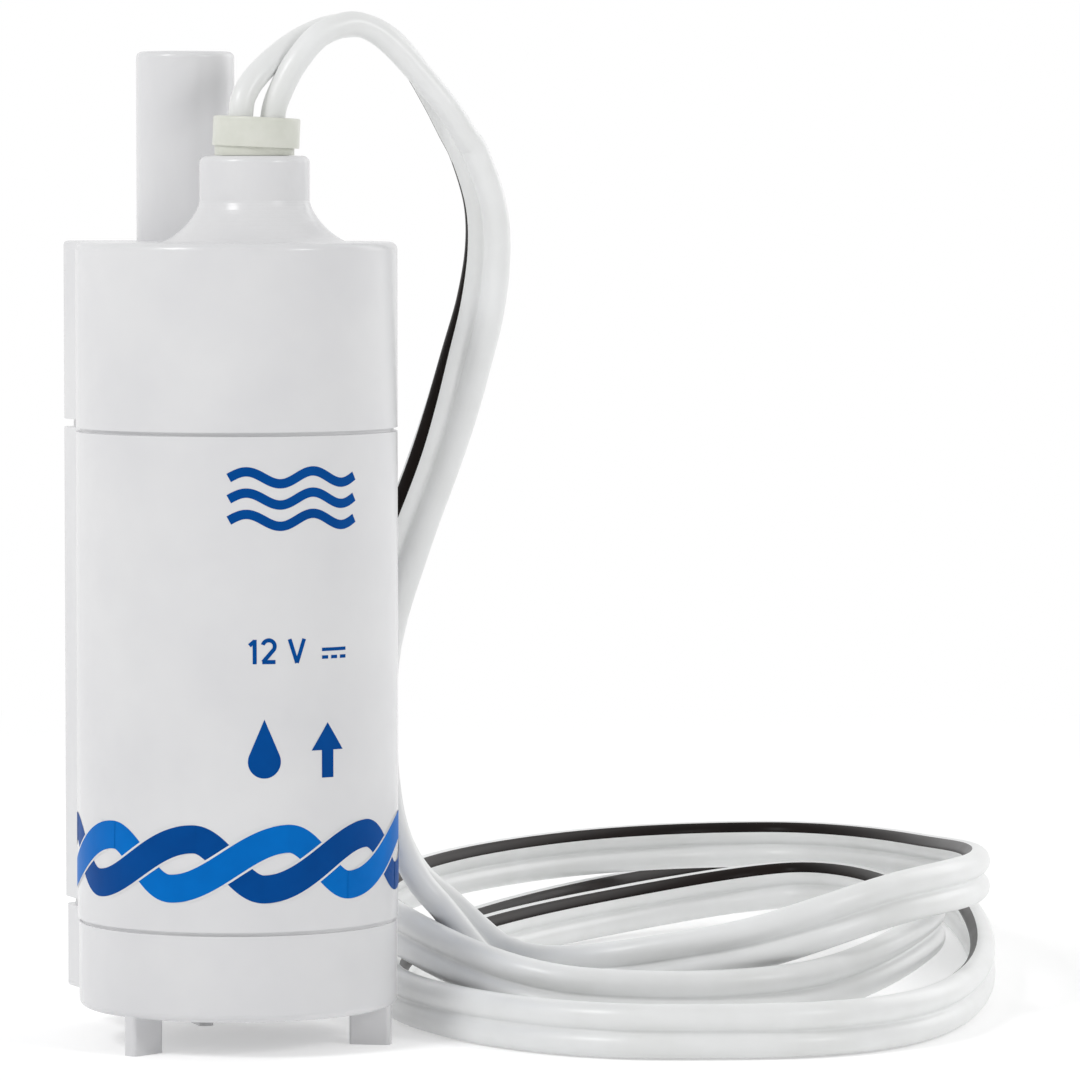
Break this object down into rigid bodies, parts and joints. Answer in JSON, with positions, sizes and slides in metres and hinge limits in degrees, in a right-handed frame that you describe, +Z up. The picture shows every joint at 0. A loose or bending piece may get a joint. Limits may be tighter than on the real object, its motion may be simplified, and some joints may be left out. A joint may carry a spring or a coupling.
{
  "type": "submersible caravan water pump",
  "caption": "White in-tank water pump: round casing on short feet with a back duct, an upright hose spigot and a cable boss whose twin flex lies in a loose coil.",
  "frame": {"origin": "pump axis on the plane of the three feet", "axes": "+Z up along the motor and impeller axis, -Y out of the printed face, +Y out of the back water duct"},
  "size_m": [0.1696, 0.165, 0.1289],
  "materials": {
    "white_shell": "gloss",
    "ivory_plug": "satin",
    "black_rubber": "matte",
    "steel": "satin",
    "nylon": "matte",
    "ferrite": "matte",
    "carbon": "matte",
    "sintered_bronze": "matte",
    "brass": "satin",
    "copper": "satin",
    "impeller_plastic": "satin",
    "white_pvc": "gloss"
  },
  "bodies": {
    "casing": {"base_cover": "white_shell", "motor_housing": "white_shell", "top_cap": "white_shell", "outlet_spigot": "white_shell", "gland_plug": "ivory_plug", "gland_grommet": "black_rubber", "cap_oring": "black_rubber", "shaft_seal": "black_rubber", "motor_can": "steel", "motor_end_bell": "nylon", "motor_pad": "black_rubber", "field_magnets": "ferrite", "lower_bush": "sintered_bronze", "upper_bush": "sintered_bronze", "carbon_brushes": "carbon", "brush_arms": "brass", "motor_tags": "brass", "inner_lead_plain": "white_pvc", "inner_lead_striped": "white_pvc", "lead_plain": "white_pvc", "lead_striped": "white_pvc", "flex_drop": "white_pvc", "flex_coil": "white_pvc", "tail_plain": "white_pvc", "tail_striped": "white_pvc", "bare_ends": "copper"},
    "rotor": {"motor_shaft": "steel", "armature_core": "steel", "armature_windings": "copper", "commutator": "copper", "thrust_washers": "nylon", "impeller": "impeller_plastic"}
  },
  "joints": [
    {"name": "rotor_spin", "type": "hinge", "parent": "casing", "child": "rotor", "pos_m": [0, 0, 0.03], "axis": [0, 0, 1], "continuous": true}
  ]
}
